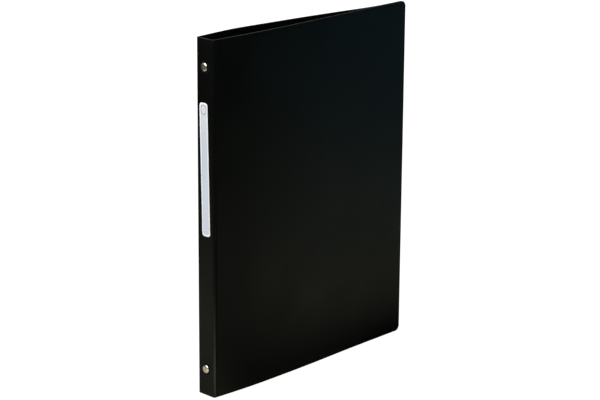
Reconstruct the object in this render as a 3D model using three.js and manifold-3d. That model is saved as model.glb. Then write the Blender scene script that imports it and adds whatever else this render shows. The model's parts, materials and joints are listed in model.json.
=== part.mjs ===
import * as THREE from 'three';
import { mergeVertices } from 'three/addons/utils/BufferGeometryUtils.js';
import Module from 'manifold-3d';

// Slim ring binder for A4 sheets, standing shut on its bottom edge.
// Lengths are in millimetres and angles in degrees.
// x runs from the spine's outer face to the fore-edge, y from the front cover to the back
// cover, and z up from the middle of the binder's height.

// Rings and rivets set the heights of everything else
const ringPitch = 80;
const ringCount = 4;
const rivetBeyondRing = 10;
const edgeBeyondRivet = 23.5;
const outerRingHeight = ringPitch * (ringCount - 1) / 2;
const rivetHeight = outerRingHeight + rivetBeyondRing;
const binderHeight = 2 * (rivetHeight + edgeBeyondRivet);

// Creased plastic sheet that makes the spine and the two covers; the spine's width is what
// the housing of the ring mechanism needs between the covers
const sheetThickness = 1.0;
const binderDepth = 238;
const housingWidth = 14;
const besideHousing = 3;
const spineWidth = housingWidth + 2 * besideHousing;
const spineCornerRadius = 1.8;
const creaseSetback = 2.6;
const creaseGroove = 1.0;
const foreEdgeCornerRadius = 5;
const shutGap = 0.3;
const halfInside = spineWidth / 2 - sheetThickness;
const coverStart = creaseSetback + creaseGroove / 2;

// Plan of the shut covers at even steps from crease to fore-edge: the half gap as shares of
// the half width inside the spine, and the drift of the middle as shares of the spine width
const halfGapShares = [1, 1.25, 1.07, 0.8, 0.42, 0.05, 0];
const driftShares = [0, 0.05, 0.015, -0.01, -0.05, -0.11, -0.04];
const coverSteps = 48;

// Thin web left in each crease
const webThickness = 0.35;
const webSeam = 0.15;

// Sheet-steel housing of the ring mechanism
const housingSteel = 0.6;
const housingCrown = 4.2;
const housingShoulder = 3;
const housingRoll = 0.4;
const housingLip = 0.4;
const housingBeyondRivet = 9;
const housingEndRadius = 4;
const housingSeatGap = 0.1;
const housingBase = sheetThickness + housingSeatGap;
const housingReach = rivetHeight + housingBeyondRivet;

// Pair of carrier rails that hinge at their outer edges inside the housing
const railSteel = 0.7;
const railPivotHeight = 1.9;
const railSideGap = 0.3;
const railMiddleGap = 0.3;
const railBeyondRivet = 4.4;
const railShutTilt = 3;
const railPivotX = housingBase + railPivotHeight;
const railPivotY = housingWidth / 2 - housingSteel - railSideGap;
const railReach = rivetHeight + railBeyondRivet;
const railWidth = railPivotY - railMiddleGap / 2;

// Round wire rings, each in two halves that lock tip to tip
const ringWireRadius = 1.1;
const ringInsideHousing = 0.7;
const ringFootInset = 1.9;
const ringRadius = housingWidth / 2 - ringInsideHousing;
const ringFootY = railPivotY - ringFootInset;
const ringTipGap = 0.3;
const ringNeckRadius = 0.7;
const ringHeadRadius = 1.25;
const ringHeadThickness = 0.4;
const tenonRadius = 0.45;
const tenonLength = 0.9;
const socketRadius = 0.8;

// Rivets through the spine and the tube posts that they clench
const rivetHeadRadius = 3.75;
const rivetHeadHeight = 1.6;
const rivetDimpleRadius = 0.9;
const rivetDimpleDepth = 0.25;
const rivetShankRadius = 1.1;
const rivetClenchRadius = 1.9;
const rivetClenchThickness = 0.5;
const postWall = 0.5;
const postFlangeRadius = 2.9;
const postFlangeThickness = 0.5;

// Opening lever at each end of the mechanism
const leverPivotBeyondRivet = 6.3;
const leverPivotHeight = 1.9;
const leverSteel = 0.6;
const leverEarWidth = 3;
const leverWidth = housingWidth - 2 * leverEarWidth;
const leverHubRadius = 1.3;
const leverPinRadius = 0.6;
const leverPinProud = 0.3;
const leverTongueWidth = 2.6;
const leverTongueReach = 2.7;
const leverTabLength = 13;
const leverTabTilt = 32;
const leverTabCornerRadius = 2.5;

// Clearances
const fitGap = 0.3;
const railPostGap = 0.8;
const overrun = 5;

// Paper label on the spine
const labelWidth = 9.4;
const labelHeight = 113;
const labelThickness = 0.2;
const labelCornerRadius = 2.6;
const labelBelowRivet = 30;
const labelTilt = 1.3;
const labelShift = 0.3;

const wasm = await Module();
wasm.setup();

const radians = THREE.MathUtils.degToRad;

function plastic() {
  return new THREE.MeshStandardMaterial({ color: 0x101112, roughness: 0.42, metalness: 0 });
}

function nickel() {
  return new THREE.MeshStandardMaterial({ color: 0xc3beb4, roughness: 0.28, metalness: 1 });
}

function zincSteel() {
  return new THREE.MeshStandardMaterial({ color: 0xaeb0b2, roughness: 0.4, metalness: 1 });
}

function paper() {
  return new THREE.MeshStandardMaterial({ color: 0xe6e9ed, roughness: 0.75, metalness: 0 });
}

function toSolid(geometry) {
  const bare = geometry.clone();
  bare.deleteAttribute('normal');
  bare.deleteAttribute('uv');
  const merged = mergeVertices(bare, 1e-5);
  const vertProperties = new Float32Array(merged.attributes.position.array);
  const triVerts = new Uint32Array(merged.index.array);
  return new wasm.Manifold(new wasm.Mesh({ numProp: 3, vertProperties, triVerts }));
}

function toGeometry(solid) {
  const { vertProperties, triVerts } = solid.getMesh();
  const geometry = new THREE.BufferGeometry();
  geometry.setAttribute('position', new THREE.BufferAttribute(vertProperties, 3));
  geometry.setIndex(new THREE.BufferAttribute(triVerts, 1));
  geometry.computeVertexNormals();
  return geometry;
}

function extrude(shape, depth, curveSegments = 12) {
  return new THREE.ExtrudeGeometry(shape, { depth, curveSegments, bevelEnabled: false });
}

// Extrudes an outline drawn in x and y upwards, centred on the middle height
function extrudeAlongZ(shape, length) {
  return extrude(shape, length).translate(0, 0, -length / 2);
}

// Extrudes an outline drawn in x and z across y, centred on the given y
function extrudeAlongY(shape, width, middle = 0) {
  const basis = new THREE.Matrix4().makeBasis(
    new THREE.Vector3(1, 0, 0),
    new THREE.Vector3(0, 0, 1),
    new THREE.Vector3(0, -1, 0),
  );
  return extrude(shape, width).applyMatrix4(basis).translate(0, middle + width / 2, 0);
}

// Extrudes an outline drawn in y and z along x, from the given x
function extrudeAlongX(shape, length, from) {
  const basis = new THREE.Matrix4().makeBasis(
    new THREE.Vector3(0, 1, 0),
    new THREE.Vector3(0, 0, 1),
    new THREE.Vector3(1, 0, 0),
  );
  return extrude(shape, length).applyMatrix4(basis).translate(from, 0, 0);
}

function turnedAlongX(profile, segments = 24) {
  return new THREE.LatheGeometry(profile, segments).rotateZ(-Math.PI / 2);
}

function cylinderAlongX(radius, from, to, y, z, segments = 20) {
  const length = to - from;
  return new THREE.CylinderGeometry(radius, radius, length, segments)
    .rotateZ(Math.PI / 2)
    .translate(from + length / 2, y, z);
}

function cylinderAlongY(radius, length, x, z, segments = 20) {
  return new THREE.CylinderGeometry(radius, radius, length, segments).translate(x, 0, z);
}

function block(fromX, toX, fromY, toY, fromZ, toZ) {
  return new THREE.BoxGeometry(toX - fromX, toY - fromY, toZ - fromZ)
    .translate((fromX + toX) / 2, (fromY + toY) / 2, (fromZ + toZ) / 2);
}

// Outline of a strip of even thickness that follows a line of points
function stripOutline(points, thickness) {
  const left = [];
  const right = [];
  points.forEach((point, i) => {
    const before = points[Math.max(i - 1, 0)];
    const after = points[Math.min(i + 1, points.length - 1)];
    const into = point.clone().sub(i > 0 ? before : point).normalize();
    const out = after.clone().sub(point).normalize();
    const along = into.clone().add(out).normalize();
    const corner = Math.max(into.lengthSq() && out.lengthSq() ? along.dot(out) : 1, 0.5);
    const across = new THREE.Vector2(-along.y, along.x).multiplyScalar(thickness / 2 / corner);
    left.push(point.clone().add(across));
    right.push(point.clone().sub(across));
  });
  return new THREE.Shape([...left, ...right.reverse()]);
}

function roundedRectangle(width, height, radius) {
  const shape = new THREE.Shape();
  const x = width / 2;
  const y = height / 2;
  const quarter = Math.PI / 2;
  shape.moveTo(radius - x, -y);
  shape.lineTo(x - radius, -y);
  shape.absarc(x - radius, radius - y, radius, -quarter, 0);
  shape.lineTo(x, y - radius);
  shape.absarc(x - radius, y - radius, radius, 0, quarter);
  shape.lineTo(radius - x, y);
  shape.absarc(radius - x, y - radius, radius, quarter, 2 * quarter);
  shape.lineTo(-x, radius - y);
  shape.absarc(radius - x, radius - y, radius, 2 * quarter, 3 * quarter);
  return shape;
}

// Spine: flat back, rounded long corners and short flanges up to the creases
function spineGeometry() {
  const half = sheetThickness / 2;
  const radius = spineCornerRadius;
  const flangeEnd = creaseSetback - creaseGroove / 2;
  const quarter = Math.PI / 2;
  const line = new THREE.Path();
  line.moveTo(flangeEnd, half);
  line.lineTo(radius, half);
  line.absarc(radius, radius, radius - half, -quarter, -2 * quarter, true);
  line.lineTo(half, spineWidth - radius);
  line.absarc(radius, spineWidth - radius, radius - half, 2 * quarter, quarter, true);
  line.lineTo(flangeEnd, spineWidth - half);
  const points = distinct(line.getPoints(6));
  let solid = toSolid(extrudeAlongZ(stripOutline(points, sheetThickness), binderHeight));
  for (const side of [-1, 1]) {
    const hole = cylinderAlongX(
      rivetShankRadius + fitGap, -overrun, sheetThickness + overrun,
      spineWidth / 2, side * rivetHeight,
    );
    solid = solid.subtract(toSolid(hole));
  }
  return toGeometry(solid);
}

function distinct(points) {
  return points.filter((point, i) => i === 0 || point.distanceTo(points[i - 1]) > 1e-6);
}

// Cover: side -1 is the front cover and side 1 the back cover
function coverLine(side) {
  const reach = binderDepth - coverStart;
  const nodes = halfGapShares.map((share, i) => {
    const halfGap = shutGap / 2 + share * (halfInside - shutGap / 2);
    const middle = spineWidth / 2 + driftShares[i] * spineWidth;
    const x = coverStart + reach * i / (halfGapShares.length - 1);
    return new THREE.Vector2(x, middle + side * (halfGap + sheetThickness / 2));
  });
  return new THREE.SplineCurve(nodes).getPoints(coverSteps);
}

function coverGeometry(side) {
  const sheet = toSolid(extrudeAlongZ(stripOutline(coverLine(side), sheetThickness),
    binderHeight + 2 * overrun));
  const top = binderHeight / 2;
  const radius = foreEdgeCornerRadius;
  const quarter = Math.PI / 2;
  const outline = new THREE.Shape();
  outline.moveTo(0, -top);
  outline.lineTo(binderDepth - radius, -top);
  outline.absarc(binderDepth - radius, radius - top, radius, -quarter, 0);
  outline.lineTo(binderDepth, top - radius);
  outline.absarc(binderDepth - radius, top - radius, radius, 0, quarter);
  outline.lineTo(0, top);
  const trim = toSolid(extrudeAlongY(outline, 3 * spineWidth, spineWidth / 2));
  return toGeometry(sheet.intersect(trim));
}

// Web: the thin strip of sheet that the crease leaves at the outer face
function webGeometry(side) {
  const outer = spineWidth / 2 + side * spineWidth / 2;
  const inner = outer - side * webThickness;
  const half = creaseGroove / 2 - webSeam;
  return block(creaseSetback - half, creaseSetback + half,
    Math.min(outer, inner), Math.max(outer, inner), -binderHeight / 2, binderHeight / 2);
}

// Housing: an arched channel whose long edges roll inwards
function housingLine() {
  const half = housingWidth / 2 - housingSteel / 2;
  const rollX = housingBase + housingSteel / 2 + housingRoll;
  const shoulderX = housingBase + housingShoulder;
  const crownX = housingBase + housingCrown - housingSteel / 2;
  const rise = crownX - shoulderX;
  const archRadius = (half * half + rise * rise) / (2 * rise);
  const archAngle = Math.asin(half / archRadius);
  const line = new THREE.Path();
  line.moveTo(rollX + housingLip, housingRoll * 2 - half);
  line.lineTo(rollX, housingRoll * 2 - half);
  line.absarc(rollX, housingRoll - half, housingRoll, Math.PI / 2, Math.PI * 3 / 2);
  line.lineTo(shoulderX, -half);
  line.absarc(crownX - archRadius, 0, archRadius, -archAngle, archAngle);
  line.lineTo(rollX, half);
  line.absarc(rollX, half - housingRoll, housingRoll, Math.PI / 2, Math.PI * 3 / 2);
  line.lineTo(rollX + housingLip, half - housingRoll * 2);
  return distinct(line.getPoints(5));
}

function housingGeometry() {
  let solid = toSolid(extrudeAlongZ(stripOutline(housingLine(), housingSteel),
    2 * housingReach + 2 * overrun));
  const plan = roundedRectangle(housingWidth + housingEndRadius, 2 * housingReach,
    housingEndRadius);
  solid = solid.intersect(toSolid(extrudeAlongX(plan, housingCrown + 2 * overrun,
    housingBase - overrun)));
  const crown = housingBase + housingCrown + overrun;
  const notchFloor = railPivotX;
  const notchHalf = ringWireRadius + 2 * fitGap;
  const notchInner = ringFootY - ringWireRadius - 2 * fitGap;
  for (const z of ringHeights()) {
    for (const side of [-1, 1]) {
      const near = side * notchInner;
      const far = side * (housingWidth / 2 + overrun);
      solid = solid.subtract(toSolid(block(notchFloor, crown, Math.min(near, far),
        Math.max(near, far), z - notchHalf, z + notchHalf)));
    }
  }
  const slotHalf = leverWidth / 2 + 2 * fitGap;
  const slotInner = leverPivotZ() - leverHubRadius - 2 * fitGap;
  for (const side of [-1, 1]) {
    const ends = [side * slotInner, side * (housingReach + overrun)];
    solid = solid.subtract(toSolid(block(railPivotX, crown, -slotHalf, slotHalf,
      Math.min(...ends), Math.max(...ends))));
    solid = solid.subtract(toSolid(cylinderAlongX(postRadius() + fitGap, railPivotX, crown,
      0, side * rivetHeight)));
    solid = solid.subtract(toSolid(cylinderAlongY(leverPinRadius + fitGap,
      housingWidth + 2 * overrun, leverPivotX(), side * leverPivotZ())));
  }
  return toGeometry(solid).translate(0, spineWidth / 2, 0);
}

function ringHeights() {
  return Array.from({ length: ringCount }, (_, i) => ringPitch * i - outerRingHeight);
}

function postRadius() {
  return rivetShankRadius + fitGap + postWall;
}

function leverPivotX() {
  return housingBase + leverPivotHeight;
}

function leverPivotZ() {
  return rivetHeight + leverPivotBeyondRivet;
}

// Rail: side -1 swings at the front edge of the housing and side 1 at the back edge
function railPoint(side, share, height) {
  const tilt = radians(railShutTilt);
  const reach = railWidth * share;
  return new THREE.Vector2(
    railPivotX - reach * Math.sin(tilt) + height * Math.cos(tilt),
    side * (railPivotY - reach * Math.cos(tilt) - height * Math.sin(tilt)),
  );
}

function railGeometry(side) {
  const outline = stripOutline([railPoint(side, 0, 0), railPoint(side, 1, 0)], railSteel);
  let solid = toSolid(extrudeAlongZ(outline, 2 * railReach));
  for (const end of [-1, 1]) {
    solid = solid.subtract(toSolid(cylinderAlongX(postRadius() + railPostGap, -overrun,
      housingBase + housingCrown + overrun, 0, end * rivetHeight)));
  }
  for (const z of ringHeights()) {
    solid = solid.subtract(toSolid(cylinderAlongX(ringNeckRadius + fitGap, -overrun,
      housingBase + housingCrown + overrun, side * ringFootY, z)));
  }
  return toGeometry(solid).translate(0, spineWidth / 2, 0);
}

// Arc of a ring half in the plane of x and y, from its tip down to its foot
class RingArc extends THREE.Curve {
  constructor(side, centreX, from, to) {
    super();
    Object.assign(this, { side, centreX, from, to });
  }

  getPoint(t, target = new THREE.Vector3()) {
    const angle = this.from + (this.to - this.from) * t;
    return target.set(this.centreX + ringRadius * Math.cos(angle),
      this.side * ringRadius * Math.sin(angle), 0);
  }
}

function ringCentreX() {
  const seat = railPoint(1, (railPivotY - ringFootY) / railWidth, railSteel / 2 + fitGap).x;
  return seat + Math.sqrt(ringRadius ** 2 - ringFootY ** 2);
}

// Ring half: a wire arc with a riveted foot; the front tip has a tenon, the back a socket
function ringHalfSolid(side) {
  const centreX = ringCentreX();
  const tipAngle = Math.asin(ringTipGap / 2 / ringRadius);
  const footAngle = Math.PI - Math.asin((ringFootY - ringWireRadius) / ringRadius);
  const wire = new THREE.Shape();
  wire.absarc(0, 0, ringWireRadius, 0, 2 * Math.PI);
  const arc = new THREE.ExtrudeGeometry(wire, {
    steps: 14,
    curveSegments: 5,
    bevelEnabled: false,
    extrudePath: new RingArc(side, centreX, tipAngle, footAngle),
  });
  const share = (railPivotY - ringFootY) / railWidth;
  const seatX = railPoint(side, share, railSteel / 2 + fitGap).x;
  const underX = railPoint(side, share, -railSteel / 2 - fitGap).x;
  const footY = side * ringFootY;
  const below = block(-overrun, seatX, -spineWidth, spineWidth, -spineWidth, spineWidth);
  const neck = cylinderAlongX(ringNeckRadius, underX - ringHeadThickness, seatX
    + ringWireRadius / 2, footY, 0, 12);
  const head = cylinderAlongX(ringHeadRadius, underX - ringHeadThickness, underX, footY, 0, 16);
  let solid = toSolid(arc).subtract(toSolid(below)).add(toSolid(neck)).add(toSolid(head));
  const tipX = centreX + ringRadius;
  const middle = side * ringTipGap / 2;
  if (side < 0) {
    const tenon = new THREE.CylinderGeometry(tenonRadius, tenonRadius,
      tenonLength + ringWireRadius, 12);
    tenon.translate(tipX, middle + tenonLength - (tenonLength + ringWireRadius) / 2, 0);
    solid = solid.add(toSolid(tenon));
  } else {
    const depth = tenonLength + fitGap;
    const socket = new THREE.CylinderGeometry(socketRadius, socketRadius, depth + overrun, 16);
    socket.translate(tipX, depth - (depth + overrun) / 2, 0);
    solid = solid.subtract(toSolid(socket));
  }
  return solid;
}

function ringHalfGeometry(side, z) {
  return toGeometry(ringHalfSolid(side)).translate(0, spineWidth / 2, z);
}

// Rivet: domed head outside the spine, shank through the post, clenched over its flange
function rivetGeometry(end) {
  const tip = housingBase + housingCrown + fitGap + postFlangeThickness + fitGap;
  const dome = [];
  const domeSteps = 8;
  for (let i = 0; i <= domeSteps; i += 1) {
    const angle = (Math.PI / 2) * i / domeSteps;
    const radius = rivetDimpleRadius
      + (rivetHeadRadius - rivetDimpleRadius) * Math.sin(angle);
    dome.push(new THREE.Vector2(radius, -rivetHeadHeight * Math.cos(angle)));
  }
  const profile = [
    new THREE.Vector2(0, rivetDimpleDepth - rivetHeadHeight),
    ...dome,
    new THREE.Vector2(rivetShankRadius, 0),
    new THREE.Vector2(rivetShankRadius, tip),
    new THREE.Vector2(rivetClenchRadius, tip),
    new THREE.Vector2(rivetShankRadius, tip + rivetClenchThickness),
    new THREE.Vector2(0, tip + rivetClenchThickness),
  ];
  return turnedAlongX(profile).translate(0, spineWidth / 2, end * rivetHeight);
}

// Post: a flanged tube between the spine and the crown of the housing
function postGeometry(end) {
  const bore = rivetShankRadius + fitGap;
  const flange = housingBase + housingCrown + fitGap;
  const top = flange + postFlangeThickness;
  const profile = [
    new THREE.Vector2(bore, housingBase),
    new THREE.Vector2(postRadius(), housingBase),
    new THREE.Vector2(postRadius(), flange),
    new THREE.Vector2(postFlangeRadius, flange),
    new THREE.Vector2(postFlangeRadius, top),
    new THREE.Vector2(bore, top),
    new THREE.Vector2(bore, housingBase),
  ];
  return turnedAlongX(profile).translate(0, spineWidth / 2, end * rivetHeight);
}

// Lever: a bent strip with a hub on the pin, a narrow tongue under the rails and a wide
// finger tab; drawn for the top end and mirrored for the bottom end
function leverGeometry(end) {
  const tilt = radians(leverTabTilt);
  const tongueX = leverSteel / 2 + fitGap - leverPivotHeight;
  const line = [
    new THREE.Vector2(tongueX, -leverTongueReach),
    new THREE.Vector2(tongueX, 0),
    new THREE.Vector2(0, leverHubRadius - leverSteel / 2),
    new THREE.Vector2(leverTabLength * Math.sin(tilt), leverTabLength * Math.cos(tilt)),
  ];
  const plan = roundedRectangle(leverWidth, 2 * leverTabLength * Math.cos(tilt) + leverSteel,
    leverTabCornerRadius);
  const planSolid = toSolid(extrudeAlongX(plan, 2 * leverTabLength, -leverTabLength));
  const far = leverTabLength;
  const half = leverTongueWidth / 2;
  let solid = toSolid(extrudeAlongY(stripOutline(line, leverSteel), leverWidth));
  solid = solid.add(toSolid(cylinderAlongY(leverHubRadius, leverWidth, 0, 0)));
  solid = solid.intersect(planSolid);
  for (const side of [-1, 1]) {
    const edges = [side * half, side * far];
    solid = solid.subtract(toSolid(block(-far, far, Math.min(...edges), Math.max(...edges),
      -far, -leverHubRadius)));
  }
  solid = solid.subtract(toSolid(cylinderAlongY(leverPinRadius + fitGap, 2 * leverWidth, 0, 0)));
  if (end < 0) {
    solid = solid.mirror([0, 0, 1]);
  }
  return toGeometry(solid).translate(leverPivotX(), spineWidth / 2, end * leverPivotZ());
}

function leverPinGeometry(end) {
  return cylinderAlongY(leverPinRadius, housingWidth + 2 * leverPinProud, leverPivotX(),
    end * leverPivotZ(), 16).translate(0, spineWidth / 2, 0);
}

function labelGeometry() {
  const shape = roundedRectangle(labelWidth, labelHeight, labelCornerRadius);
  return extrudeAlongX(shape, labelThickness, -labelThickness)
    .rotateX(-radians(labelTilt))
    .translate(0, spineWidth / 2 + labelShift, rivetHeight - labelBelowRivet - labelHeight / 2);
}

const group = new THREE.Group();
const binder = new THREE.Group();
group.add(binder);

function addPart(name, geometry, material) {
  const mesh = new THREE.Mesh(geometry, material);
  mesh.name = name;
  binder.add(mesh);
}

addPart('spine', spineGeometry(), plastic());
addPart('front_cover', coverGeometry(-1), plastic());
addPart('back_cover', coverGeometry(1), plastic());
addPart('front_hinge_web', webGeometry(-1), plastic());
addPart('back_hinge_web', webGeometry(1), plastic());
addPart('mechanism_housing', housingGeometry(), nickel());
addPart('front_carrier_rail', railGeometry(-1), zincSteel());
addPart('back_carrier_rail', railGeometry(1), zincSteel());
ringHeights().forEach((z, i) => {
  addPart(`ring_${i + 1}_front_half`, ringHalfGeometry(-1, z), nickel());
  addPart(`ring_${i + 1}_back_half`, ringHalfGeometry(1, z), nickel());
});
for (const [place, end] of [['bottom', -1], ['top', 1]]) {
  addPart(`${place}_lever`, leverGeometry(end), nickel());
  addPart(`${place}_lever_pin`, leverPinGeometry(end), zincSteel());
  addPart(`${place}_rivet`, rivetGeometry(end), nickel());
  addPart(`${place}_rivet_post`, postGeometry(end), zincSteel());
}
addPart('spine_label', labelGeometry(), paper());

// The binder stands with its lowest edge at zero and its box centred over the origin
const box = new THREE.Box3().setFromObject(binder);
const centre = box.getCenter(new THREE.Vector3());
binder.position.set(-centre.x, -centre.y, -box.min.z);

export default group;
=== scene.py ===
# %% [markdown]
# # A slim ring binder
#
# The binder is one black plastic sheet, creased twice so that it folds into a spine and two
# covers. Two domed rivets hold a steel ring mechanism inside the spine, and a narrow paper
# label sits outside. The CAD model already has every solid at its true size. This script
# keeps those sizes, replaces the facetted solids with smooth surfaces, gives each one a
# procedural material, and lights the whole as a plain studio picture.

# %% Load the CAD model
import json
import math

import bmesh
import bpy
import numpy as np
from mathutils import Matrix, Vector


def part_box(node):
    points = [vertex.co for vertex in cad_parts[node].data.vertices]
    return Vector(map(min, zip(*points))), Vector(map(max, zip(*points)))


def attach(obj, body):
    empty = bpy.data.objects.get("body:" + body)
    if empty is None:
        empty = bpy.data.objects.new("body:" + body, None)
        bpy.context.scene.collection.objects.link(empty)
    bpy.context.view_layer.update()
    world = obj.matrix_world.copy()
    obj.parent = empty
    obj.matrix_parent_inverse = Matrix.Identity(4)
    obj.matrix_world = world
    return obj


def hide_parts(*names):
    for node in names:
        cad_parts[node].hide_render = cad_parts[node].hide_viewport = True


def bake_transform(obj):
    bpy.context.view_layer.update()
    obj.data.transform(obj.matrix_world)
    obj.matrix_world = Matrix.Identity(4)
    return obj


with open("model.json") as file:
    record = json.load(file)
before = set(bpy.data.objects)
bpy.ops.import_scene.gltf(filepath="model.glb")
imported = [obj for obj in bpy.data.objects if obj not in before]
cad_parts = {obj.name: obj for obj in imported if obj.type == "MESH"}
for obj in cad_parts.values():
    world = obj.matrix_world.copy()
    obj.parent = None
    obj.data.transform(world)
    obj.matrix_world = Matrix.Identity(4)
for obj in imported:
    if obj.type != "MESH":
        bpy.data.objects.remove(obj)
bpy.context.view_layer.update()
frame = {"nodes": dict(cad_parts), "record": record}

# %% [markdown]
# ## One set of axes for every shape
#
# Drawings of sheet goods are in millimetres, measured from a corner. Here x runs from the
# outer face of the spine to the fore-edge, y from the front cover to the back cover, and z
# up from the middle of the height. Blender wants metres in the model's own frame, so every
# shape is drawn in millimetres and moved once, by one function. The spine's own box says
# where the corner is, so nothing is placed by eye.

# %% From the drawing to the model's frame
MM = 0.001
spine_low, spine_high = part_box("spine")
CORNER = np.array([spine_low.x, spine_low.y, (spine_low.z + spine_high.z) / 2])
HEIGHT = (spine_high.z - spine_low.z) / MM
SPINE_WIDTH = (spine_high.y - spine_low.y) / MM
MIDDLE = SPINE_WIDTH / 2
DEPTH = (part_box("front_cover")[1].x - spine_low.x) / MM


def place(points):
    """Model metres of drawn millimetres: each point shrinks a thousandfold and moves by
    the corner of the spine."""
    return CORNER + np.asarray(points, float) * MM


print("binder of", round(DEPTH, 1), "by", round(HEIGHT, 1), "by", round(SPINE_WIDTH, 1), "mm")

# %% [markdown]
# ## Colours and nodes
#
# A colour picked from a screen is gamma coded, and the renderer works with linear light, so
# one function turns a hex colour to linear. A material is a small graph. One function adds
# a node, sets its options and its inputs, and links whatever input is given a socket.

# %% Colour and node helpers
def linear(hex_colour):
    """Linear RGBA of an sRGB hex colour: below 0.04045 the code is divided by 12.92, and
    above it is shifted, scaled and raised to 2.4."""
    code = np.array([int(hex_colour[i:i + 2], 16) / 255 for i in (1, 3, 5)])
    light = np.where(code <= 0.04045, code / 12.92, ((code + 0.055) / 1.055) ** 2.4)
    return (*light.tolist(), 1.0)


def add(tree, kind, inputs=None, **options):
    """One new node in tree. Options are the node's own settings, and inputs maps a socket's
    name or number to a value or to the socket that feeds it."""
    made = tree.nodes.new("ShaderNode" + kind)
    for option, value in options.items():
        setattr(made, option, value)
    for socket, value in (inputs or {}).items():
        if isinstance(value, bpy.types.NodeSocket):
            tree.links.new(value, made.inputs[socket])
        else:
            made.inputs[socket].default_value = value
    return made


def blank_material(name):
    """A material with only a Principled shader on its output, and that shader."""
    material = bpy.data.materials.new(name)
    material.use_nodes = True
    return material, material.node_tree, material.node_tree.nodes["Principled BSDF"]


def per_mm(size):
    """Noise scale that gives features of about this many millimetres, since Object
    coordinates count metres."""
    return 1 / (size * MM)


print("mid grey", [round(c, 3) for c in linear("#808080")])

# %% [markdown]
# ## Black polypropylene sheet
#
# The sheet is extruded polypropylene, rolled while warm between a polished and a finely
# grained roller. That gives a deep black with a low, broad sheen, a grain that only shows
# close up, and faint clouds where the sheet cooled unevenly. Where the sheet was sheared the
# cut face is paler. The hot bar that pressed the creases left them matt. The foot of each
# fold, which slides along the shelf, is rubbed smooth and shines more than the rest. An
# image could carry all this, but noise at real millimetre sizes has no seams and stays
# sharp at any distance, and the mesh itself knows where it was cut, pressed or rubbed.

# %% Sheet material
CLOUD_SIZE, CHIP_SIZE = 45, 1.6
# Real grain is about 0.15 mm; it is drawn at 0.5 mm so that a close view shows it
GRAIN_SIZE = 0.5
SMOOTHEST, ROUGHEST, RUBBED_SMOOTH, PRESSED_MATT = 0.40, 0.50, 0.33, 0.95
# Fine grain shades most of its own sheen, and a rubbed fold has it back
GRAIN_SHEEN, RUBBED_SHEEN = 0.13, 0.40
PLASTIC_IOR = 1.49


def black_polypropylene():
    """Clouds and grain over a near-black base, paler where the mesh says cut_edge, matt
    where it says pressed, and smoother and with more sheen where it says polished."""
    material, tree, shader = blank_material("black_polypropylene_sheet")
    place_on = add(tree, "TexCoord").outputs["Object"]
    clouds = add(tree, "TexNoise", {"Vector": place_on, "Scale": per_mm(CLOUD_SIZE),
                                    "Detail": 3.0})
    black = add(tree, "ValToRGB", {"Fac": clouds.outputs["Fac"]})
    black.color_ramp.elements[0].color = linear("#040504")
    black.color_ramp.elements[1].color = linear("#080907")
    edge = add(tree, "Attribute", attribute_name="cut_edge")
    chips = add(tree, "TexNoise", {"Vector": place_on, "Scale": per_mm(CHIP_SIZE),
                                   "Detail": 2.0})
    worn = add(tree, "Math", {0: edge.outputs["Fac"], 1: chips.outputs["Fac"]},
               operation="MULTIPLY")
    tone = add(tree, "Mix", {"Factor": worn.outputs[0], 6: black.outputs["Color"],
                             7: linear("#3c3e3d")}, data_type="RGBA")
    tree.links.new(tone.outputs[2], shader.inputs["Base Color"])
    gloss = add(tree, "MapRange", {"Value": clouds.outputs["Fac"], "From Min": 0.3,
                                   "From Max": 0.7, "To Min": SMOOTHEST, "To Max": ROUGHEST})
    polished = add(tree, "Attribute", attribute_name="polished").outputs["Fac"]
    smooth = add(tree, "Mix", {"Factor": polished, 2: gloss.outputs["Result"],
                               3: RUBBED_SMOOTH})
    matt = add(tree, "Attribute", attribute_name="pressed").outputs["Fac"]
    rough = add(tree, "Mix", {"Factor": matt, 2: smooth.outputs[0], 3: PRESSED_MATT})
    tree.links.new(rough.outputs[0], shader.inputs["Roughness"])
    grain = add(tree, "TexNoise", {"Vector": place_on, "Scale": per_mm(GRAIN_SIZE),
                                   "Detail": 2.0})
    bump = add(tree, "Bump", {"Height": grain.outputs["Fac"], "Strength": 0.25,
                              "Distance": 0.02 * MM})
    tree.links.new(bump.outputs["Normal"], shader.inputs["Normal"])
    sheen = add(tree, "Mix", {"Factor": polished, 2: GRAIN_SHEEN, 3: RUBBED_SHEEN})
    tree.links.new(sheen.outputs[0], shader.inputs["Specular IOR Level"])
    shader.inputs["IOR"].default_value = PLASTIC_IOR
    return material


SHEET = black_polypropylene()
print("made", SHEET.name, "with", len(SHEET.node_tree.nodes), "nodes")

# %% [markdown]
# ## Plated steel
#
# The rings, housing and levers are mild steel with a bright nickel plate: a warm grey
# mirror, softened by drawing and pressing marks. The rivets are nickel too, but tumbled in
# a barrel, which leaves them satin. The rim of each head is painted nearly black, a painted
# shade for the gap where the head meets the sheet. The rails, posts and pins have zinc
# instead, which is cooler and duller, with faint crystals. All are metals, so the colour
# sits in the reflection and the index stays at its default. Fine marks are noise stretched
# along the height.

# %% Nickel and zinc materials
STAIN_SIZE = 3
CRYSTAL_SIZE, ROLLED_MARK = 1.4, 0.6
# Real drawing marks are under 0.05 mm wide; they are drawn at 0.25 mm so that they show
DRAWN_MARK = 0.25
STRETCH = 0.12


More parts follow.
